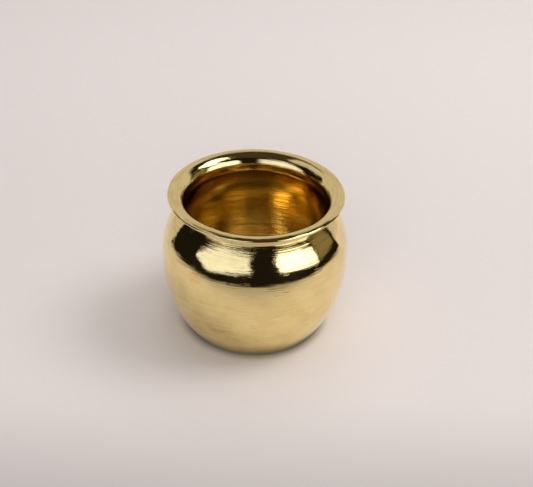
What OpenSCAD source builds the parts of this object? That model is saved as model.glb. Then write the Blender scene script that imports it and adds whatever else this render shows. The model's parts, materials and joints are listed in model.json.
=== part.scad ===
// Brass kalash pot: a pressed lower bowl, a spun shoulder and a flared mouth
// ring, joined by two brazed half-lap seams that are turned flush.
// The origin is the centre of the flat underside, and +Z is the pot's axis.
// All profiles are drawn on the plane of radius and height, then revolved.

/* [Belly] */
// Widest diameter of the belly
belly_d = 78; // [70:1:94]
// Height of the belly's widest circle above the base
belly_level = 34.2; // [30:0.2:40]
// Height of the half-ellipse below the widest circle, which the base cuts short
bowl_depth = 49; // [44:0.2:60]
// Height of the half-oval above the widest circle, which the neck cuts short
shoulder_rise = 32; // [28:0.2:40]
// Fullness of the shoulder, where 2 is an ellipse and more is squarer
shoulder_fullness = 2.35; // [2:0.05:2.8]
// Radius of the turned edge between the flat base and the bowl
foot_edge_r = 2.5; // [2:0.1:5]

/* [Neck and mouth] */
// Diameter of the opening at the throat
throat_d = 58.8; // [50:0.2:64]
// Radius of the hollow between the shoulder and the neck
neck_hollow_r = 0.4; // [0.4:0.1:3]
// Height of the straight neck, where the mouth ring stands in the shoulder's collar
neck_straight = 1; // [0.8:0.1:4]
// Rise of the flare from the throat to its crest
flare_rise = 5.4; // [5.2:0.1:7]
// Spread of the flare on the radius, from the throat to its crest
flare_spread = 5.1; // [4:0.1:5.5]
// How far the lip rolls over beyond its crest, on the radius
lip_roll = 2.1; // [1.2:0.1:3]
// Roundness of the lip's edge, as its corners' radius over the thickness of the sheet
lip_roundness = 0.47; // [0.2:0.01:0.49]
// Slope of the mouth ring's conical underside, above level
under_slope = 26; // [22:1:27]
// Radius of the hollow between the neck and the underside
under_hollow_r = 1.2; // [0.6:0.1:1.6]

/* [Metal] */
// Thickness of the brass sheet
wall = 1.4; // [1.2:0.1:1.8]
// Thickness of the braze film inside a half-lap seam
braze_t = 0.1; // [0.06:0.02:0.2]
// Length of the half-lap seam at the belly
belly_lap = 3; // [2:0.5:5]

/* [Smoothness] */
// Steps along the bowl's curve and along the shoulder's curve
curve_steps = 22; // [12:1:36]
// Steps along each small arc
arc_steps = 8; // [5:1:16]

/* [Hidden] */
$fn = 180;
BRASS = [0.84, 0.71, 0.40];
BRAZE = [0.88, 0.80, 0.56];

belly_r = belly_d / 2;
throat_r = throat_d / 2;
neck_r = throat_r + wall;
lip_corner_r = lip_roundness * wall;

// Finds where the rising function f crosses zero between lo and hi.
function crossing(f, lo, hi, rounds = 40) =
    let (mid = (lo + hi) / 2)
    rounds == 0 ? mid
    : f(mid) > 0 ? crossing(f, lo, mid, rounds - 1)
    : crossing(f, mid, hi, rounds - 1);

// Point at an angle on an arc.
function on_arc(centre, r, angle) = centre + r * [cos(angle), sin(angle)];

// Points on an arc, from one angle to another.
function arc(centre, r, from, to) =
    [for (i = [0 : arc_steps]) on_arc(centre, r, from + (to - from) * i / arc_steps)];

// --- Belly curve: radius of the outer skin at height z, and the skin's slope ---

function oval_height(z) = z < belly_level ? bowl_depth : shoulder_rise;
function oval_power(z) = z < belly_level ? 2 : shoulder_fullness;
function oval_share(z) = abs(z - belly_level) / oval_height(z);
function skin_r(z) = belly_r * pow(1 - pow(oval_share(z), oval_power(z)), 1 / oval_power(z));

// How far the skin's outward normal leans up from level, in degrees.
function skin_lean(z) =
    let (n = oval_power(z), s = oval_share(z))
    let (slope = belly_r / oval_height(z) * pow(s, n - 1) * pow(1 - pow(s, n), 1 / n - 1))
    sign(z - belly_level) * atan(slope);

function skin_normal(z) = [cos(skin_lean(z)), sin(skin_lean(z))];
function outer_skin(z) = [skin_r(z), z];
function inner_skin(z) = outer_skin(z) - wall * skin_normal(z);

// --- Foot: the arc of the turned edge touches the floor and the bowl's curve ---

foot_join_z = crossing(function (z) z - foot_edge_r * (1 + skin_normal(z)[1]), 0, foot_edge_r);
foot_centre = outer_skin(foot_join_z) - foot_edge_r * skin_normal(foot_join_z);
foot_join_angle = skin_lean(foot_join_z);

// --- Neck: the hollow touches the shoulder's curve and the straight neck ---

neck_join_z = crossing(
    function (z) neck_r + neck_hollow_r - skin_r(z) - neck_hollow_r * skin_normal(z)[0],
    belly_level, belly_level + shoulder_rise * 0.98);
hollow_centre = outer_skin(neck_join_z) + neck_hollow_r * skin_normal(neck_join_z);
hollow_join_angle = 180 + skin_lean(neck_join_z);
neck_foot_z = hollow_centre[1];
throat_z = neck_foot_z + neck_straight;

// --- Mouth: the flare is part of an ellipse, and its underside is a cone ---

flare_centre = [throat_r + flare_spread, throat_z];

// The ellipse's angle is 0 at the throat and 90 at the crest.
function flare_top(t) = flare_centre + [-flare_spread * cos(t), flare_rise * sin(t)];
function flare_normal(t) =
    let (n = [-flare_rise * cos(t), flare_spread * sin(t)])
    n / norm(n);

lip_r = throat_r + flare_spread + lip_roll;
lip_end = crossing(
    function (t) flare_top(t)[0] + lip_corner_r * (1 - flare_normal(t)[0]) - lip_r, 60, 170);
lip_normal = flare_normal(lip_end);
lip_face_angle = atan2(lip_normal[1], lip_normal[0]) - 90;
lip_upper_corner = flare_top(lip_end) - lip_corner_r * lip_normal;
lip_lower_corner = flare_top(lip_end) - (wall - lip_corner_r) * lip_normal;

under_angle = under_slope - 90;
under_normal = [cos(under_angle), sin(under_angle)];
under_edge = lip_lower_corner + lip_corner_r * under_normal;
under_centre_r = neck_r + under_hollow_r;
under_centre_rise = (under_hollow_r - (under_centre_r - under_edge[0]) * under_normal[0]) / under_normal[1];
under_centre = [under_centre_r, under_edge[1] + under_centre_rise];

// --- Seams: each wall is thinned to half, less half the braze film ---

belly_lap_hi = belly_level + belly_lap / 2;
belly_lap_lo = inner_skin(belly_level - belly_lap / 2)[1];
belly_seam_r = belly_r - wall / 2;
neck_seam_r = throat_r + wall / 2;

// --- Lists of points ---

// Heights from one level to another, both ends included.
function levels(from, to) = [for (i = [0 : curve_steps]) from + (to - from) * i / curve_steps];

function bowl_outside() = concat(
    [[0, 0]],
    arc(foot_centre, foot_edge_r, -90, foot_join_angle),
    [for (z = levels(foot_join_z, belly_level)) if (z > foot_join_z) outer_skin(z)],
    [outer_skin(belly_lap_hi)]);

function bowl_inside() = concat(
    [for (z = levels(belly_level - belly_lap / 2, foot_join_z)) if (z > foot_join_z) inner_skin(z)],
    arc(foot_centre, foot_edge_r - wall, foot_join_angle, -90),
    [[0, wall]]);

function shoulder_outside() = concat(
    [for (z = levels(belly_lap_hi, neck_join_z)) if (z < neck_join_z) outer_skin(z)],
    arc(hollow_centre, neck_hollow_r, hollow_join_angle, 180),
    [[neck_r, throat_z]]);

function shoulder_inside() = concat(
    arc(hollow_centre, neck_hollow_r + wall, 180, hollow_join_angle),
    [for (z = levels(neck_join_z, belly_level)) if (z < neck_join_z) inner_skin(z)],
    [inner_skin(belly_level - belly_lap / 2)]);

function flare_angles(from, to) = [for (i = [0 : 2 * arc_steps]) from + (to - from) * i / (2 * arc_steps)];

// --- Pieces ---

// Braze film of a seam, between two heights.
module braze_film(seam_r, from_z, to_z) {
    rotate_extrude()
    translate([seam_r - braze_t / 2, from_z])
    square([braze_t, to_z - from_z]);
}

// Pressed bowl, whose thinned upper edge is the outer half of the belly seam.
module lower_bowl() {
    seam_r = belly_seam_r + braze_t / 2;
    color(BRASS)
    rotate_extrude()
    polygon(concat(
        bowl_outside(),
        [[seam_r, belly_lap_hi], [seam_r, belly_lap_lo]],
        bowl_inside()));
}

module belly_braze() {
    color(BRAZE) braze_film(belly_seam_r, belly_lap_lo, belly_lap_hi);
}

// Spun shoulder, which slips inside the bowl's edge and turns up into a collar.
module shoulder_shell() {
    belly_tongue_r = belly_seam_r - braze_t / 2;
    collar_r = neck_seam_r + braze_t / 2;
    color(BRASS)
    rotate_extrude()
    polygon(concat(
        shoulder_outside(),
        [[collar_r, throat_z], [collar_r, neck_foot_z]],
        shoulder_inside(),
        [[belly_tongue_r, belly_lap_lo], [belly_tongue_r, belly_lap_hi]]));
}

module neck_braze() {
    color(BRAZE) braze_film(neck_seam_r, neck_foot_z, throat_z);
}

// Mouth ring: a spigot that stands in the collar, and a flare that is thickest at its middle.
module mouth_ring() {
    spigot_r = neck_seam_r - braze_t / 2;
    color(BRASS)
    rotate_extrude()
    polygon(concat(
        [[spigot_r, neck_foot_z], [throat_r, neck_foot_z]],
        [for (t = flare_angles(0, lip_end)) flare_top(t)],
        arc(lip_upper_corner, lip_corner_r, lip_face_angle + 90, lip_face_angle),
        arc(lip_lower_corner, lip_corner_r, lip_face_angle, under_angle),
        arc(under_centre, under_hollow_r, under_angle + 180, 180),
        [[neck_r, throat_z], [spigot_r, throat_z]]));
}

lower_bowl();
belly_braze();
shoulder_shell();
neck_braze();
mouth_ring();
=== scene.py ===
import json
import math

import bmesh
import bpy
from bpy.props import FloatProperty, FloatVectorProperty, IntProperty, PointerProperty
from bpy.types import Operator, Panel, PropertyGroup
from mathutils import Matrix, Vector


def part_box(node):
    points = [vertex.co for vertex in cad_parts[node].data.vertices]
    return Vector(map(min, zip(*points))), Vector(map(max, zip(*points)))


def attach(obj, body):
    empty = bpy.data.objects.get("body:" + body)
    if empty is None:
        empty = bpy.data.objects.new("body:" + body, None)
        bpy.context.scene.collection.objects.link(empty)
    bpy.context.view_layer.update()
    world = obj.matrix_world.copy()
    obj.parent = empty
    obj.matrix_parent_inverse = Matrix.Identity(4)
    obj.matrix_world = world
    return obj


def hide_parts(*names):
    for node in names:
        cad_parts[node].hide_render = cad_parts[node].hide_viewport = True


bl_info = {
    "name": "Brass Kalash Pot",
    "version": (1, 0, 0),
    "blender": (4, 5, 0),
    "location": "View3D > Sidebar > Kalash",
    "description": "Turns a small brass kalash pot, polishes it and sets it on a pale table",
    "category": "Add Mesh",
}

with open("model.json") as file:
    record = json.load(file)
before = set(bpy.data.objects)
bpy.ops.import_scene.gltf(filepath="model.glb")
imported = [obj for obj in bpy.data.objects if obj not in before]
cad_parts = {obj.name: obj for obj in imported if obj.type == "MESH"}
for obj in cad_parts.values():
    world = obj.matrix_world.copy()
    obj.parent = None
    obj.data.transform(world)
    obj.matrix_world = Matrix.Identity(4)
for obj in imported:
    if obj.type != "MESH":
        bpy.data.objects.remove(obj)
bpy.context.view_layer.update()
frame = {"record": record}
MM = 0.001


def cad_width(node):
    """Width of a frame node across X."""
    low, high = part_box(node)
    return high.x - low.x


def mount(name):
    """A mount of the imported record, by its name."""
    return next(m for m in frame["record"]["mounts"] if m["name"] == name)


# ---------------------------------------------------------------- settings


class KalashShape(PropertyGroup):
    """Sizes of the pot's sheet and of its outline."""

    belly_width: FloatProperty(
        name="Belly width", description="Widest diameter of the pot",
        default=cad_width("lower_bowl"), unit="LENGTH", precision=4)
    belly_level: FloatProperty(
        name="Belly level", description="Height of the widest circle",
        default=34.2 * MM, unit="LENGTH", precision=4)
    bowl_depth: FloatProperty(
        name="Bowl depth", description="Height of the half-ellipse that the base cuts short",
        default=49.0 * MM, unit="LENGTH", precision=4)
    shoulder_rise: FloatProperty(
        name="Shoulder rise", description="Height of the half-oval that the neck cuts short",
        default=32.0 * MM, unit="LENGTH", precision=4)
    shoulder_fullness: FloatProperty(
        name="Shoulder fullness", description="2 is an ellipse, and more is squarer", default=2.35)
    foot_edge: FloatProperty(
        name="Foot edge", description="Radius of the turned edge of the base",
        default=2.5 * MM, unit="LENGTH", precision=4)
    throat_width: FloatProperty(
        name="Throat width", description="Diameter of the narrowest opening",
        default=2 * mount("throat")["dims"]["r_mm"] * MM, unit="LENGTH", precision=4)
    neck_hollow: FloatProperty(
        name="Neck hollow", description="Radius of the hollow between shoulder and neck",
        default=0.4 * MM, unit="LENGTH", precision=4)
    neck_straight: FloatProperty(
        name="Straight neck", description="Height of the straight part of the neck",
        default=mount("throat")["dims"]["length_mm"] * MM, unit="LENGTH", precision=4)
    flare_rise: FloatProperty(
        name="Flare rise", description="Rise from the throat to the crest of the lip",
        default=5.4 * MM, unit="LENGTH", precision=4)
    flare_spread: FloatProperty(
        name="Flare spread", description="Spread from the throat to the crest of the lip",
        default=5.1 * MM, unit="LENGTH", precision=4)
    lip_width: FloatProperty(
        name="Lip width", description="Diameter over the edge of the lip",
        default=cad_width("mouth_ring"), unit="LENGTH", precision=4)
    lip_roundness: FloatProperty(
        name="Lip roundness", description="Radius of the lip's corners over the sheet's thickness",
        default=0.47)
    under_slope: FloatProperty(
        name="Underside slope", description="Slope of the mouth ring's conical underside",
        default=math.radians(26), subtype="ANGLE")
    under_hollow: FloatProperty(
        name="Underside hollow", description="Radius of the hollow between neck and underside",
        default=1.2 * MM, unit="LENGTH", precision=4)
    wall: FloatProperty(
        name="Sheet", description="Thickness of the brass sheet",
        default=1.4 * MM, unit="LENGTH", precision=5)
    braze: FloatProperty(
        name="Braze", description="Thickness of the braze film in a seam",
        default=0.1 * MM, unit="LENGTH", precision=5)
    belly_lap: FloatProperty(
        name="Belly lap", description="Length of the half-lap seam at the belly",
        default=3.0 * MM, unit="LENGTH", precision=4)
    segments: IntProperty(
        name="Segments", description="Steps round the axis", default=288, min=48)


class KalashFinish(PropertyGroup):
    """Colour and polish of the brass."""

    brass: FloatVectorProperty(
        name="Brass", description="Colour of the polished brass",
        subtype="COLOR", size=3, min=0, max=1, default=(0.93, 0.76, 0.36))
    dull_brass: FloatVectorProperty(
        name="Dulled brass", description="Colour of the brass where it has dulled",
        subtype="COLOR", size=3, min=0, max=1, default=(0.80, 0.62, 0.27))
    dark_brass: FloatVectorProperty(
        name="Dark lines", description="Colour of the dark lines round the neck and the mouth",
        subtype="COLOR", size=3, min=0, max=1, default=(0.60, 0.45, 0.20))
    raw_brass: FloatVectorProperty(
        name="Turned brass", description="Colour of the unpolished inside",
        subtype="COLOR", size=3, min=0, max=1, default=(0.93, 0.75, 0.33))
    raw_dark: FloatVectorProperty(
        name="Turned brass, dark", description="Colour of the dark streaks inside",
        subtype="COLOR", size=3, min=0, max=1, default=(0.64, 0.41, 0.11))
    tarnish: FloatVectorProperty(
        name="Tarnish", description="Colour of old specks and scratches in the brass",
        subtype="COLOR", size=3, min=0, max=1, default=(0.30, 0.19, 0.07))
    stain: FloatVectorProperty(
        name="Stain", description="Colour of the small copper-coloured stain on the belly",
        subtype="COLOR", size=3, min=0, max=1, default=(0.86, 0.47, 0.13))
    braze: FloatVectorProperty(
        name="Braze", description="Colour of the spelter in the seams",
        subtype="COLOR", size=3, min=0, max=1, default=(0.86, 0.74, 0.44))
    polish: FloatProperty(
        name="Roughness outside", description="Roughness of the buffed outside", default=0.07)
    turned: FloatProperty(
        name="Roughness inside", description="Roughness of the turned inside", default=0.11)


class KalashStage(PropertyGroup):
    """Table, lights and camera."""

    floor: FloatVectorProperty(
        name="Floor", description="Colour of the table's cover",
        subtype="COLOR", size=3, min=0, max=1, default=(0.85, 0.783, 0.768))
    room_strength: FloatProperty(name="Room", description="Light of the pale room", default=0.27)
    top_power: FloatProperty(name="Top light", description="Power of the lamp overhead", default=3.4)
    front_power: FloatProperty(
        name="Front light", description="Power of the lamp in front", default=5.2)
    side_power: FloatProperty(
        name="Side light", description="Power of the lamp at the right", default=4.7)
    lens: FloatProperty(name="Lens", description="Focal length in millimetres", default=87.34)
    distance: FloatProperty(
        name="Distance", description="From the camera to the pot", default=0.55, unit="LENGTH")
    height_angle: FloatProperty(
        name="Height", description="How high the camera stands over the pot",
        default=math.radians(34.30), subtype="ANGLE")
    roll: FloatProperty(
        name="Roll", description="Tilt of the camera about its line of sight",
        default=math.radians(1.344), subtype="ANGLE")


# ---------------------------------------------------------------- outline of the pot


def crossing(rising, low, high, halvings=60):
    """Where a rising function crosses zero, found by halving the range."""
    for _ in range(halvings):
        middle = (low + high) / 2
        if rising(middle) > 0:
            high = middle
        else:
            low = middle
    return (low + high) / 2


def spread(start, end, steps):
    """Even steps from start to end, both included."""
    return [start + (end - start) * i / steps for i in range(steps + 1)]


def arc(centre, radius, start, end, steps=14):
    """Points of an arc, with its angles in radians."""
    return [centre + radius * Vector((math.cos(a), math.sin(a))) for a in spread(start, end, steps)]


def direction(round_angle, height):
    """Unit vector from angles in degrees: 0 is in front of the pot and 90 is to its right."""
    a, e = math.radians(round_angle), math.radians(height)
    return Vector((math.sin(a) * math.cos(e), -math.cos(a) * math.cos(e), math.sin(e)))


class Outline:
    """The pot's section, as points of radius and height."""

    def __init__(self, shape):
        self.shape = shape
        self.belly_r = shape.belly_width / 2
        self.throat_r = shape.throat_width / 2
        self.neck_r = self.throat_r + shape.wall
        self.lip_r = shape.lip_width / 2
        self.corner = shape.lip_roundness * shape.wall
        self.find_foot()
        self.find_neck()
        self.find_lip()
        half_lap = shape.belly_lap / 2
        self.lap_top = shape.belly_level + half_lap
        self.lap_bottom_skin = shape.belly_level - half_lap
        self.lap_bottom = self.inner(self.lap_bottom_skin).y

    # The outer skin of the belly, and the direction that it faces.

    def oval(self, z):
        below = z < self.shape.belly_level
        height = self.shape.bowl_depth if below else self.shape.shoulder_rise
        power = 2.0 if below else self.shape.shoulder_fullness
        return abs(z - self.shape.belly_level) / height, height, power

    def outer(self, z):
        share, _, power = self.oval(z)
        return Vector((self.belly_r * (1 - share**power) ** (1 / power), z))

    def facing(self, z):
        share, height, power = self.oval(z)
        slope = self.belly_r / height * share ** (power - 1) * (1 - share**power) ** (1 / power - 1)
        lean = math.copysign(math.atan(slope), z - self.shape.belly_level)
        return Vector((math.cos(lean), math.sin(lean)))

    def inner(self, z):
        return self.outer(z) - self.shape.wall * self.facing(z)

    # Where the arcs of the foot and the neck meet the belly's curves, and where the lip ends.

    def find_foot(self):
        r = self.shape.foot_edge
        self.foot_z = crossing(lambda z: z - r * (1 + self.facing(z).y), 0.0, r)
        self.foot_centre = self.outer(self.foot_z) - r * self.facing(self.foot_z)
        self.foot_angle = math.atan2(self.facing(self.foot_z).y, self.facing(self.foot_z).x)

    def find_neck(self):
        r = self.shape.neck_hollow
        near_top = 0.98
        low = self.shape.belly_level
        high = low + self.shape.shoulder_rise * near_top
        self.neck_join = crossing(
            lambda z: self.neck_r + r - self.outer(z).x - r * self.facing(z).x, low, high)
        face = self.facing(self.neck_join)
        self.hollow_centre = self.outer(self.neck_join) + r * face
        self.hollow_angle = math.pi + math.atan2(face.y, face.x)
        self.neck_foot = self.hollow_centre.y
        self.throat_z = self.neck_foot + self.shape.neck_straight

    def find_lip(self):
        corner = self.corner
        climbing, turned_over = math.radians(60), math.radians(170)
        self.lip_end = crossing(
            lambda t: self.flare(t).x + corner * (1 - self.flare_facing(t).x) - self.lip_r,
            climbing, turned_over)
        face = self.flare_facing(self.lip_end)
        self.lip_angle = math.atan2(face.y, face.x)
        self.upper_corner = self.flare(self.lip_end) - corner * face
        self.lower_corner = self.flare(self.lip_end) - (self.shape.wall - corner) * face
        hollow = self.shape.under_hollow
        self.under_angle = self.shape.under_slope - math.pi / 2
        under_face = Vector((math.cos(self.under_angle), math.sin(self.under_angle)))
        edge = self.lower_corner + corner * under_face
        centre_r = self.neck_r + hollow
        rise = (hollow - (centre_r - edge.x) * under_face.x) / under_face.y
        self.under_centre = Vector((centre_r, edge.y + rise))

    # The flare is part of an ellipse, with its angle 0 at the throat.

    def flare(self, t):
        s = self.shape
        centre = Vector((self.throat_r + s.flare_spread, self.throat_z))
        return centre + Vector((-s.flare_spread * math.cos(t), s.flare_rise * math.sin(t)))

    def flare_facing(self, t):
        s = self.shape
        return Vector((-s.flare_rise * math.cos(t), s.flare_spread * math.sin(t))).normalized()

    # Sections of the pieces.

    def bowl(self):
        """Open section of the lower bowl, from the axis outside to the axis inside."""
        s = self.shape
        seam_r = self.belly_r - s.wall / 2 + s.braze / 2
        down, join = -math.pi / 2, self.foot_angle
        base = spread(0.0, self.foot_centre.x, steps=10)[:-1]
        points = [Vector((r, 0.0)) for r in base]
        points += arc(self.foot_centre, s.foot_edge, down, join)
        points += [self.outer(z) for z in spread(self.foot_z, self.lap_top, steps=76)[1:]]
        points += [Vector((seam_r, self.lap_top)), Vector((seam_r, self.lap_bottom))]
        points += [self.inner(z) for z in spread(self.lap_bottom_skin, self.foot_z, steps=72)[:-1]]
        points += arc(self.foot_centre, s.foot_edge - s.wall, join, down)
        points += [Vector((r, s.wall)) for r in reversed(base)]
        return points

    def shoulder(self):
        """Closed section of the shoulder and its collar."""
        s = self.shape
        collar_r = self.throat_r + s.wall / 2 + s.braze / 2
        tongue_r = self.belly_r - s.wall / 2 - s.braze / 2
        points = [self.outer(z) for z in spread(self.lap_top, self.neck_join, steps=56)[:-1]]
        points += arc(self.hollow_centre, s.neck_hollow, self.hollow_angle, math.pi)
        points += [Vector((self.neck_r, self.throat_z))]
        points += [Vector((collar_r, self.throat_z)), Vector((collar_r, self.neck_foot))]
        points += arc(self.hollow_centre, s.neck_hollow + s.wall, math.pi, self.hollow_angle)
        points += [self.inner(z) for z in spread(self.neck_join, self.lap_bottom_skin, steps=60)[1:]]
        points += [Vector((tongue_r, self.lap_bottom)), Vector((tongue_r, self.lap_top))]
        return points

    def mouth(self):
        """Closed section of the mouth ring."""
        s = self.shape
        spigot_r = self.throat_r + s.wall / 2 - s.braze / 2
        quarter = math.pi / 2
        points = [Vector((spigot_r, self.neck_foot)), Vector((self.throat_r, self.neck_foot))]
        points += [self.flare(t) for t in spread(0.0, self.lip_end, steps=40)[:-1]]
        points += arc(self.upper_corner, self.corner, self.lip_angle, self.lip_angle - quarter)
        points += arc(
            self.lower_corner, self.corner, self.lip_angle - quarter, self.under_angle)
        points += arc(
            self.under_centre, s.under_hollow, self.under_angle + math.pi, math.pi)
        points += [Vector((self.neck_r, self.throat_z)), Vector((spigot_r, self.throat_z))]
        return points

    def film(self, seam_r, low, high):
        """Closed section of a braze film."""
        half = self.shape.braze / 2
        return [
            Vector((seam_r - half, low)), Vector((seam_r + half, low)),
            Vector((seam_r + half, high)), Vector((seam_r - half, high))]

    def belly_film(self):
        return self.film(self.belly_r - self.shape.wall / 2, self.lap_bottom, self.lap_top)

    def neck_film(self):
        return self.film(self.throat_r + self.shape.wall / 2, self.neck_foot, self.throat_z)


# ---------------------------------------------------------------- turning a section


SAME_POINT = 1e-7
NO_LENGTH = 1e-8
SHARP_EDGE = math.radians(35)


def finished(work, name):
    """Makes an object of the worked geometry, and puts it in the scene."""
    mesh = bpy.data.meshes.new(name)
    work.to_mesh(mesh)
    work.free()
    made = bpy.data.objects.new(name, mesh)
    bpy.context.scene.collection.objects.link(made)
    return made


def turn(name, section, closed, segments):
    """Spins a section round the pot's axis, and returns the finished object."""
    work = bmesh.new()
    corners = [work.verts.new((p.x, 0.0, p.y)) for p in section]
    ends = corners[1:] + corners[:1] if closed else corners[1:]
    lines = [work.edges.new(pair) for pair in zip(corners, ends)]
    bmesh.ops.spin(
        work, geom=corners + lines, cent=(0, 0, 0), axis=(0, 0, 1),
        angle=math.tau, steps=segments, use_merge=True, use_duplicate=False)
    bmesh.ops.remove_doubles(work, verts=work.verts, dist=SAME_POINT)
    bmesh.ops.dissolve_degenerate(work, dist=NO_LENGTH, edges=work.edges)
    bmesh.ops.recalc_face_normals(work, faces=work.faces)
    for face in work.faces:
        face.smooth = True
    for edge in work.edges:
        edge.smooth = edge.calc_face_angle(0.0) < SHARP_EDGE
    return finished(work, name)


def place(piece, node, slot, *finishes):
    """Puts a finished piece in the frame, in place of a node."""
    for finish in finishes:
        piece.data.materials.append(finish)
    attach(piece, "root")
    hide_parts(node)


def line_inside(piece, outline):
    """Gives the faces inside the pot the piece's second material."""
    past_middle = outline.shape.wall * 0.7
    half_base = outline.shape.wall / 2
    for polygon in piece.data.polygons:
        x, y, z = polygon.center
        skin = outline.outer(min(max(z, outline.foot_z), outline.neck_join)).x
        inside = math.hypot(x, y) < skin - past_middle and z > half_base
        polygon.material_index = 1 if inside else 0


# ---------------------------------------------------------------- finishes


def opaque(colour):
    return (*colour, 1.0)


class Nodes:
    """Short calls for building a material's nodes."""

    def __init__(self, name):
        self.material = bpy.data.materials.new(name)
        self.material.use_nodes = True
        self.tree = self.material.node_tree
        self.shader = self.tree.nodes["Principled BSDF"]

    def add(self, kind, **settings):
        node = self.tree.nodes.new(kind)
        for key, value in settings.items():
            setattr(node, key, value)
        return node

    def feed(self, node, socket, value):
        if isinstance(value, bpy.types.NodeSocket):
            self.tree.links.new(value, node.inputs[socket])
        else:
            node.inputs[socket].default_value = value

    def math(self, operation, *values):
        node = self.add("ShaderNodeMath", operation=operation)
        for i, value in enumerate(values):
            self.feed(node, i, value)
        return node.outputs[0]

    def ramp(self, value, low, high):
        """Rises from 0 to 1 as the value goes from low to high."""
        node = self.add("ShaderNodeMapRange", interpolation_type="SMOOTHSTEP")
        self.feed(node, "Value", value)
        self.feed(node, "From Min", low)
        self.feed(node, "From Max", high)
        return node.outputs["Result"]

    def blend(self, factor, first, second):
        node = self.add("ShaderNodeMix", data_type="RGBA")
        self.feed(node, "Factor", factor)
        self.feed(node, "A", first)
        self.feed(node, "B", second)
        return node.outputs["Result"]

    def position(self):
        """Where a point lies on the object, as one vector and then as x, y and z."""
        whole = self.add("ShaderNodeTexCoord").outputs["Object"]
        split = self.add("ShaderNodeSeparateXYZ")
        self.feed(split, 0, whole)
        return whole, *split.outputs

    def from_axis(self, x, y):
        """Distance from the pot's axis."""
        squares = [self.math("POWER", side, 2.0) for side in (x, y)]
        return self.math("SQRT", self.math("ADD", *squares))

    def emission(self, colour, strength=1.0):
        node = self.add("ShaderNodeEmission")
        self.feed(node, "Color", colour)
        self.feed(node, "Strength", strength)
        return node.outputs[0]

    def surface(self, shader):
        self.feed(self.tree.nodes["Material Output"], "Surface", shader)

    def bump(self, height, distance, under=None):
        node = self.add("ShaderNodeBump")
        self.feed(node, "Height", height)
        self.feed(node, "Distance", distance)
        self.feed(node, "Strength", 1.0)
        if under is not None:
            self.feed(node, "Normal", under)
        return node.outputs["Normal"]


QUARTER_TURN = 0.25


class Lathe(Nodes):
    """Materials whose marks run round the pot's axis."""

    def __init__(self, name):
        super().__init__(name)
        self.object, x, y, self.height = self.position()
        self.radius = self.from_axis(x, y)
        self.east = self.math("DIVIDE", x, self.radius)
        self.north = self.math("DIVIDE", y, self.radius)

    def marks(self, across, round_count, detail=2.0, roughness=0.5):
        """Noise drawn out round the axis.

        across is the width of a mark in metres, and round_count the patches per radian.
        """
        drawn_out = self.add("ShaderNodeCombineXYZ")
        self.feed(drawn_out, 0, self.math("MULTIPLY", self.east, round_count))
        self.feed(drawn_out, 1, self.math("MULTIPLY", self.north, round_count))
        self.feed(drawn_out, 2, self.math("DIVIDE", self.height, across))
        noise = self.add("ShaderNodeTexNoise", noise_dimensions="4D")
        self.feed(noise, "Vector", drawn_out.outputs[0])
        self.feed(noise, "W", self.math("DIVIDE", self.radius, across))
        self.feed(noise, "Scale", 1.0)
        self.feed(noise, "Detail", detail)
        self.feed(noise, "Roughness", roughness)
        return noise.outputs[0]

    def patches(self, size, detail=3.0):
        """Noise of even patches, with their size in metres."""
        noise = self.add("ShaderNodeTexNoise")
        self.feed(noise, "Vector", self.object)
        self.feed(noise, "Scale", 1 / size)
        self.feed(noise, "Detail", detail)
        return noise.outputs[0]

    def specks(self, spacing, radius, share):
        """Small round spots in a few of the cells. share is the part of the cells left clean."""
        cells = self.add("ShaderNodeTexVoronoi")
        self.feed(cells, "Vector", self.object)
        self.feed(cells, "Scale", 1 / spacing)
        spot = self.math("LESS_THAN", cells.outputs["Distance"], radius / spacing)
        chosen = self.math("GREATER_THAN", cells.outputs["Color"], share)
        return self.math("MULTIPLY", spot, chosen)

    def near(self, spot, inner, outer):
        """1 within the inner distance of a spot, falling to 0 at the outer distance."""
        apart = self.add("ShaderNodeVectorMath", operation="DISTANCE")
        self.feed(apart, 0, self.object)
        self.feed(apart, 1, spot)
        return self.math("SUBTRACT", 1.0, self.ramp(apart.outputs["Value"], inner, outer))

    def stained(self, colour, mask, strength, stain):
        """Lays a stain over a colour where the mask is, as strongly as told."""
        return self.blend(self.math("MULTIPLY", mask, strength), colour, opaque(stain))

    def metal(self, colour, roughness, normal, anisotropy):
        self.feed(self.shader, "Metallic", 1.0)
        self.feed(self.shader, "Base Color", colour)
        self.feed(self.shader, "Roughness", roughness)
        self.feed(self.shader, "Anisotropic", anisotropy)
        self.feed(self.shader, "Anisotropic Rotation", QUARTER_TURN)
        self.feed(self.shader, "Normal", normal)
        tangent = self.add("ShaderNodeTangent", direction_type="RADIAL", axis="Z")
        self.feed(self.shader, "Tangent", tangent.outputs[0])
        return self.material


SCUFF_PLACE = (-24, 19 * MM)
STAIN_PLACE = (-38.5, 41 * MM)


def on_belly(round_angle, height):
    """Point of the belly's skin, at an angle in degrees round it and at a height."""
    radius = Outline(bpy.context.scene.kalash_shape).outer(height).x
    return direction(round_angle, 0) * radius + Vector((0, 0, height))


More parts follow.
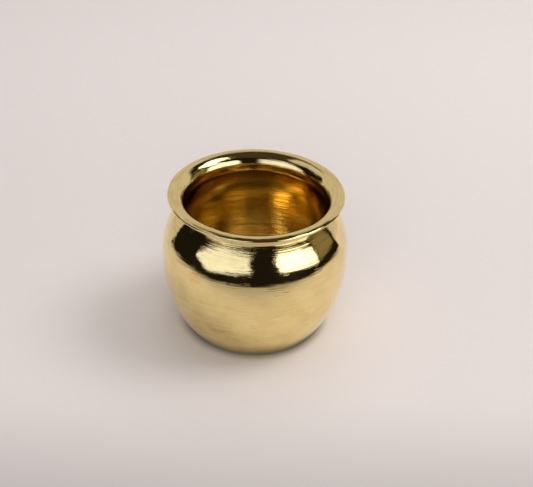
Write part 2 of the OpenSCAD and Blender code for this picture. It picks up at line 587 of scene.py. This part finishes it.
def buffed_brass(finish):
    """The outside: bright, with fine marks round the axis, strongest at the neck and the mouth."""
    lathe = Lathe("buffed_brass")

    # Marks of the buffing, deeper on worn patches and towards the mouth.
    upper = lathe.ramp(lathe.height, low=47 * MM, high=55 * MM)
    worn = lathe.ramp(lathe.patches(12 * MM), low=0.42, high=0.66)
    least, more_worn, more_upper = 0.25, 0.50, 0.6
    depth = lathe.math("MULTIPLY_ADD", worn, more_worn, least)
    depth = lathe.math("MULTIPLY_ADD", upper, more_upper, depth)
    swell = lathe.marks(across=8.0 * MM, round_count=1.6, detail=1.0)
    coarse = lathe.marks(across=0.8 * MM, round_count=2.5, detail=3.0)
    fine = lathe.marks(across=0.26 * MM, round_count=2.6)
    normal = lathe.bump(swell, distance=0.08 * MM)
    normal = lathe.bump(lathe.math("MULTIPLY", coarse, depth), distance=0.080 * MM, under=normal)
    normal = lathe.bump(lathe.math("MULTIPLY", fine, depth), distance=0.042 * MM, under=normal)

    # Dull patches and wiped streaks, and dark lines round the neck and the mouth.
    dull = lathe.ramp(lathe.patches(8 * MM, detail=6.0), low=0.38, high=0.70)
    streaks = lathe.marks(across=1.6 * MM, round_count=3.0, detail=4.0, roughness=0.7)
    wiped = lathe.ramp(streaks, low=0.42, high=0.66)
    dull_share, wiped_share = 0.55, 0.38
    dulled = lathe.math("MULTIPLY_ADD", wiped, wiped_share, lathe.math("MULTIPLY", dull, dull_share))
    colour = lathe.blend(dulled, opaque(finish.brass), opaque(finish.dull_brass))
    lines = lathe.ramp(lathe.marks(across=0.20 * MM, round_count=2.0), low=0.48, high=0.66)
    lines = lathe.math("MULTIPLY", lines, upper)
    colour = lathe.stained(colour, lines, strength=0.45, stain=finish.dark_brass)

    # Scratches in patches, the scuffed place low on the front, specks, and the copper stain.
    short = lathe.marks(across=0.34 * MM, round_count=7.0, detail=1.0)
    rubbed = lathe.ramp(lathe.patches(7 * MM), low=0.50, high=0.60)
    scratch = lathe.math("MULTIPLY", lathe.ramp(short, low=0.66, high=0.72), rubbed)
    colour = lathe.stained(colour, scratch, strength=0.7, stain=finish.tarnish)
    dense = lathe.marks(across=0.30 * MM, round_count=3.5, detail=1.0)
    scuffed = lathe.near(on_belly(*SCUFF_PLACE), inner=3.0 * MM, outer=6.5 * MM)
    scuff = lathe.math("MULTIPLY", scuffed, lathe.ramp(dense, low=0.56, high=0.64))
    colour = lathe.stained(colour, scuff, strength=0.8, stain=finish.tarnish)
    specks = lathe.specks(spacing=3.6 * MM, radius=0.22 * MM, share=0.84)
    colour = lathe.blend(specks, colour, opaque(finish.tarnish))
    blotches = lathe.ramp(lathe.patches(1.2 * MM), low=0.40, high=0.60)
    blushed = lathe.near(on_belly(*STAIN_PLACE), inner=0.5 * MM, outer=5.0 * MM)
    blush = lathe.math("MULTIPLY", blushed, blotches)
    colour = lathe.stained(colour, blush, strength=0.6, stain=finish.stain)

    smoother, rougher = 0.02, 0.06
    rough = lathe.math("MULTIPLY_ADD", dulled, rougher, finish.polish - smoother)
    return lathe.metal(colour, rough, normal, anisotropy=0.35)


def turned_brass(finish):
    """The inside: left as it came off the lathe, with broader marks and dark streaks."""
    lathe = Lathe("turned_brass")
    broad = lathe.marks(across=5.0 * MM, round_count=1.5)
    coarse = lathe.marks(across=0.7 * MM, round_count=1.8, detail=4.0, roughness=0.65)
    fine = lathe.marks(across=0.35 * MM, round_count=3.0)
    normal = lathe.bump(broad, distance=0.07 * MM)
    normal = lathe.bump(coarse, distance=0.06 * MM, under=normal)
    normal = lathe.bump(fine, distance=0.018 * MM, under=normal)
    streak = lathe.ramp(coarse, low=0.42, high=0.62)
    colour = lathe.blend(streak, opaque(finish.raw_brass), opaque(finish.raw_dark))
    smoother, rougher = 0.04, 0.08
    rough = lathe.math("MULTIPLY_ADD", streak, rougher, finish.turned - smoother)
    return lathe.metal(colour, rough, normal, anisotropy=0.8)


def spelter(finish):
    """The braze in the seams."""
    lathe = Lathe("spelter")
    grain = lathe.marks(across=0.3 * MM, round_count=12.0)
    colour = lathe.blend(grain, opaque(finish.braze), opaque(finish.brass))
    smoothest, rougher = 0.2, 0.1
    rough = lathe.math("MULTIPLY_ADD", grain, rougher, smoothest)
    return lathe.metal(colour, rough, lathe.bump(grain, distance=0.004 * MM), anisotropy=0.3)


def material(name, maker):
    """The finish of that name, made once."""
    return bpy.data.materials.get(name) or maker(bpy.context.scene.kalash_finish)


def both_finishes():
    """Buffed brass for the outside, then turned brass for the inside."""
    return material("buffed_brass", buffed_brass), material("turned_brass", turned_brass)


# ---------------------------------------------------------------- table and lights


LAMP_COLOUR = (1.0, 0.985, 0.97)
DARK_ROOM = (0.011, 0.009, 0.007)
# Painted light: the glow of the ceiling where the lamps would reach it, seen only in the brass.
LIT_CEILING = (0.055, 0.045, 0.028)
PALE_ROOM = (0.96, 0.94, 0.92)
LIGHT_CENTRE = Vector((0, 0, 0.05))
WALLS_RADIUS = 3.5

# In the pot's reflections the table is dark past this distance, except in a wedge behind the pot.
MIRRORED_TABLE = 0.200
WEDGE_SLOPE = 0.466


def flat_sheet(name, corners):
    """One flat face through the corners."""
    work = bmesh.new()
    bmesh.ops.contextual_create(work, geom=[work.verts.new(c) for c in corners])
    sheet = finished(work, name)
    return sheet


def glow(name, colour, strength):
    """A plain light-giving material."""
    nodes = Nodes(name)
    nodes.tree.nodes.remove(nodes.shader)
    nodes.surface(nodes.emission(opaque(colour), strength))
    return nodes.material


def only_mirrored(piece):
    """Hides a piece from everything but the reflections in the brass."""
    piece.visible_camera = False
    piece.visible_diffuse = False
    piece.visible_shadow = False


def softbox(name, outline, distance, colour, strength):
    """A lit panel, seen from the pot through the outline's directions."""
    panel = flat_sheet(name, [LIGHT_CENTRE + direction(*way) * distance for way in outline])
    panel.data.materials.append(glow(name, colour, strength))
    only_mirrored(panel)


def panel_light(name, round_angle, height, distance, size, power, mirrored=False):
    """A wide soft lamp that lights the table. The brass mirrors it only if mirrored is set."""
    lamp = bpy.data.lights.new(name, "AREA")
    lamp.size = size
    lamp.color = LAMP_COLOUR
    lamp.energy = power
    holder = bpy.data.objects.new(name, lamp)
    way = direction(round_angle, height)
    turned = way.to_track_quat("Z", "Y").to_matrix().to_4x4()
    holder.matrix_world = Matrix.Translation(way * distance) @ turned
    holder.visible_glossy = mirrored
    holder.visible_camera = False
    bpy.context.scene.collection.objects.link(holder)


def floor_finish(stage):
    """The table's cover, with painted shade and a painted contact shadow, and the dark room that the
    pot mirrors in place of its far parts.
    """
    nodes = Nodes("table_cover")
    nodes.feed(nodes.shader, "Roughness", 0.9)
    nodes.feed(nodes.shader, "Specular IOR Level", 0.1)
    _, x, y, _ = nodes.position()
    reach = nodes.from_axis(x, y)

    def toned(share):
        return opaque([share * c for c in stage.floor])

    # Painted shade and light: darker towards the viewer and a little lighter behind the pot, where
    # the lamps' light falls off across the table, and a painted contact shadow dark close to its
    # foot.
    painted_light_share = nodes.ramp(y, low=-0.15, high=-0.045)
    shade = nodes.blend(painted_light_share, toned(0.61), toned(1.0))
    behind = nodes.ramp(y, low=0.02, high=0.30)
    shade = nodes.blend(behind, shade, toned(1.10))
    # Painted contact shadow: the cover is painted darker within 26.5 mm of the axis, clearing by 33.5
    # mm, round the pot's foot.
    clear_of_painted_shadow = nodes.ramp(reach, low=26.5 * MM, high=33.5 * MM)
    shade = nodes.blend(clear_of_painted_shadow, toned(0.30), shade)
    nodes.feed(nodes.shader, "Base Color", shade)

    far = nodes.math("GREATER_THAN", reach, MIRRORED_TABLE)
    wedge = nodes.math("MULTIPLY", nodes.math("ABSOLUTE", x), WEDGE_SLOPE)
    out_of_wedge = nodes.math("LESS_THAN", y, wedge)
    mirrored = nodes.add("ShaderNodeLightPath").outputs["Is Glossy Ray"]
    dark = nodes.math("MULTIPLY", nodes.math("MULTIPLY", far, out_of_wedge), mirrored)
    mix = nodes.add("ShaderNodeMixShader")
    nodes.feed(mix, 0, dark)
    nodes.feed(mix, 1, nodes.shader.outputs[0])
    nodes.feed(mix, 2, nodes.emission(opaque(DARK_ROOM)))
    nodes.surface(mix.outputs[0])
    return nodes.material


def wall_finish():
    """Walls and ceiling painted as a glow that stands for the room's light: dark walls, and a ceiling
    painted lighter where the lamps reach it a little.
    """
    nodes = Nodes("dark_walls")
    nodes.tree.nodes.remove(nodes.shader)
    *_, z = nodes.position()
    # Painted light: the walls glow brighter up high, where the lamps would light the ceiling.
    painted_ceiling_light = nodes.ramp(z, low=0.76 * WALLS_RADIUS, high=0.90 * WALLS_RADIUS)
    nodes.surface(nodes.emission(nodes.blend(painted_ceiling_light, opaque(DARK_ROOM), opaque(LIT_CEILING))))
    return nodes.material


def room_light(stage):
    """A pale room round the table. The pot mirrors only dark walls, set far round it."""
    world = bpy.data.worlds.new("room")
    bpy.context.scene.world = world
    world.use_nodes = True
    back = world.node_tree.nodes["Background"]
    back.inputs["Color"].default_value = opaque(PALE_ROOM)
    back.inputs["Strength"].default_value = stage.room_strength
    world.cycles_visibility.glossy = False
    work = bmesh.new()
    bmesh.ops.create_uvsphere(work, u_segments=32, v_segments=16, radius=WALLS_RADIUS)
    walls = finished(work, "dark_walls")
    walls.data.materials.append(wall_finish())
    only_mirrored(walls)


AIM_HEIGHT = 0.030
AIM_RIGHT = 4.98 * MM
AIM_UP = 6.23 * MM


def set_camera(stage):
    """Aims the camera a little past the pot, so that the pot sits low and left of the middle."""
    sight = direction(0.0, math.degrees(stage.height_angle))
    right = Vector((1, 0, 0))
    up = sight.cross(right)
    turned_right = right * math.cos(stage.roll) + up * math.sin(stage.roll)
    turned_up = up * math.cos(stage.roll) - right * math.sin(stage.roll)
    middle = Vector((0, 0, AIM_HEIGHT))
    spot = middle + sight * stage.distance
    aim = middle + turned_right * AIM_RIGHT + turned_up * AIM_UP
    back = (spot - aim).normalized()
    true_right = turned_up.cross(back).normalized()
    true_up = back.cross(true_right)
    data = bpy.data.cameras.new("camera")
    data.lens = stage.lens
    data.sensor_width = 36.0
    data.clip_start = 0.01
    data.clip_end = 20.0
    camera = bpy.data.objects.new("camera", data)
    bpy.context.scene.collection.objects.link(camera)
    turn_matrix = Matrix((true_right, true_up, back)).transposed().to_4x4()
    camera.matrix_world = Matrix.Translation(spot) @ turn_matrix
    bpy.context.scene.camera = camera


# ---------------------------------------------------------------- operators


class KALASH_OT_lower_bowl(Operator):
    """Turn the lower bowl, from the flat base to the belly seam"""

    bl_idname = "kalash.lower_bowl"
    bl_label = "Lower Bowl"

    def execute(self, context):
        outline = Outline(context.scene.kalash_shape)
        piece = turn("kalash_bowl", outline.bowl(), False, context.scene.kalash_shape.segments)
        place(piece, "lower_bowl", "brass_bowl", *both_finishes())
        line_inside(piece, outline)
        return {"FINISHED"}


class KALASH_OT_shoulder(Operator):
    """Turn the shoulder, from the belly seam to the collar of the neck"""

    bl_idname = "kalash.shoulder"
    bl_label = "Shoulder"

    def execute(self, context):
        outline = Outline(context.scene.kalash_shape)
        piece = turn("kalash_shoulder", outline.shoulder(), True, context.scene.kalash_shape.segments)
        place(piece, "shoulder_shell", "brass_shoulder", *both_finishes())
        line_inside(piece, outline)
        return {"FINISHED"}


class KALASH_OT_mouth(Operator):
    """Turn the mouth ring, with its spigot, flare and rolled lip"""

    bl_idname = "kalash.mouth"
    bl_label = "Mouth Ring"

    def execute(self, context):
        outline = Outline(context.scene.kalash_shape)
        piece = turn("kalash_mouth", outline.mouth(), True, context.scene.kalash_shape.segments)
        place(piece, "mouth_ring", "brass_mouth", material("buffed_brass", buffed_brass))
        return {"FINISHED"}


class KALASH_OT_seams(Operator):
    """Fill the belly seam and the neck seam with braze"""

    bl_idname = "kalash.seams"
    bl_label = "Braze Seams"

    def execute(self, context):
        shape = context.scene.kalash_shape
        outline = Outline(shape)
        for name, node, section in (
                ("kalash_belly_seam", "belly_braze", outline.belly_film()),
                ("kalash_neck_seam", "neck_braze", outline.neck_film())):
            piece = turn(name, section, True, shape.segments)
            place(piece, node, "braze_filler", material("spelter", spelter))
        return {"FINISHED"}


class KALASH_OT_stage(Operator):
    """Set the pale table, the backdrop, the soft lights and the camera"""

    bl_idname = "kalash.stage"
    bl_label = "Table and Lights"

    def execute(self, context):
        stage = context.scene.kalash_stage
        reach = 3.0
        table = flat_sheet("table", [
            (-reach, -reach, 0), (reach, -reach, 0), (reach, reach, 0), (-reach, reach, 0)])
        table.data.materials.append(floor_finish(stage))
        side, foot, lean, top = 1.1, 0.52, 0.62, 0.75
        backdrop = flat_sheet("backdrop", [
            (-side, foot, 0), (side, foot, 0), (side, lean, top), (-side, lean, top)])
        backdrop.data.materials.append(glow("backdrop", (0.70, 0.65, 0.60), strength=0.9))
        backdrop.visible_diffuse = False
        softbox("left_softbox",
                [(-51, 43), (-2.5, 39), (-7, 27), (-1, 8), (-55, -3.5), (-76, 9), (-66, 30)],
                distance=1.0, colour=(0.80, 0.84, 1.0), strength=1.33)
        softbox("right_softbox",
                [(34, 39), (79, 26), (80.5, -2.5), (54, 3), (32, 7.5), (27, 21)],
                distance=1.0, colour=(0.97, 0.98, 1.0), strength=2.6)
        # Painted reflection: a dim brownish glowing panel that stands for a lit wall at the right,
        # mirrored only by the brass.
        softbox("painted_right_wall_glow", [(84, 30), (111, 30), (112, -12), (84, -12)],
                distance=1.6, colour=(1.0, 0.80, 0.42), strength=0.24)
        panel_light("top_light", 150, 74, distance=1.0, size=1.0, power=stage.top_power)
        panel_light("front_light", -5, 32, distance=1.2, size=1.0, power=stage.front_power)
        panel_light("side_light", 97, 56, distance=1.3, size=0.56, power=stage.side_power,
                    mirrored=True)
        # Painted reflection: a pale glowing panel that stands for a lit wall at the left, mirrored
        # only by the brass.
        softbox("painted_left_wall_glow",
                [(-72, 64), (-72, 50), (-98, 46), (-106, 30), (-150, 26), (-150, 60)],
                distance=1.4, colour=(1.0, 0.96, 0.90), strength=0.62)
        room_light(stage)
        set_camera(stage)
        context.scene.view_settings.view_transform = "Standard"
        return {"FINISHED"}


STEPS = (
    KALASH_OT_lower_bowl, KALASH_OT_shoulder, KALASH_OT_mouth, KALASH_OT_seams, KALASH_OT_stage)


class KALASH_PT_panel(Panel):
    """Everything that makes the pot, in order"""

    bl_idname = "KALASH_PT_panel"
    bl_label = "Kalash Pot"
    bl_space_type = "VIEW_3D"
    bl_region_type = "UI"
    bl_category = "Kalash"

    def draw(self, context):
        for step in STEPS:
            self.layout.operator(step.bl_idname)
        for group in ("kalash_shape", "kalash_finish", "kalash_stage"):
            settings = getattr(context.scene, group)
            box = self.layout.box()
            for name in settings.bl_rna.properties.keys():
                if name not in ("rna_type", "name"):
                    box.prop(settings, name)


CLASSES = (KalashShape, KalashFinish, KalashStage, *STEPS, KALASH_PT_panel)


def register():
    for kind in CLASSES:
        bpy.utils.register_class(kind)
    bpy.types.Scene.kalash_shape = PointerProperty(type=KalashShape)
    bpy.types.Scene.kalash_finish = PointerProperty(type=KalashFinish)
    bpy.types.Scene.kalash_stage = PointerProperty(type=KalashStage)


def unregister():
    for name in ("kalash_shape", "kalash_finish", "kalash_stage"):
        delattr(bpy.types.Scene, name)
    for kind in reversed(CLASSES):
        bpy.utils.unregister_class(kind)


def corners(box):
    return [list(corner) for corner in box]


def main():
    register()
    bpy.ops.kalash.lower_bowl()
    bpy.ops.kalash.shoulder()
    bpy.ops.kalash.mouth()
    bpy.ops.kalash.seams()
    bpy.ops.kalash.stage()


if __name__ == "__main__":
    main()
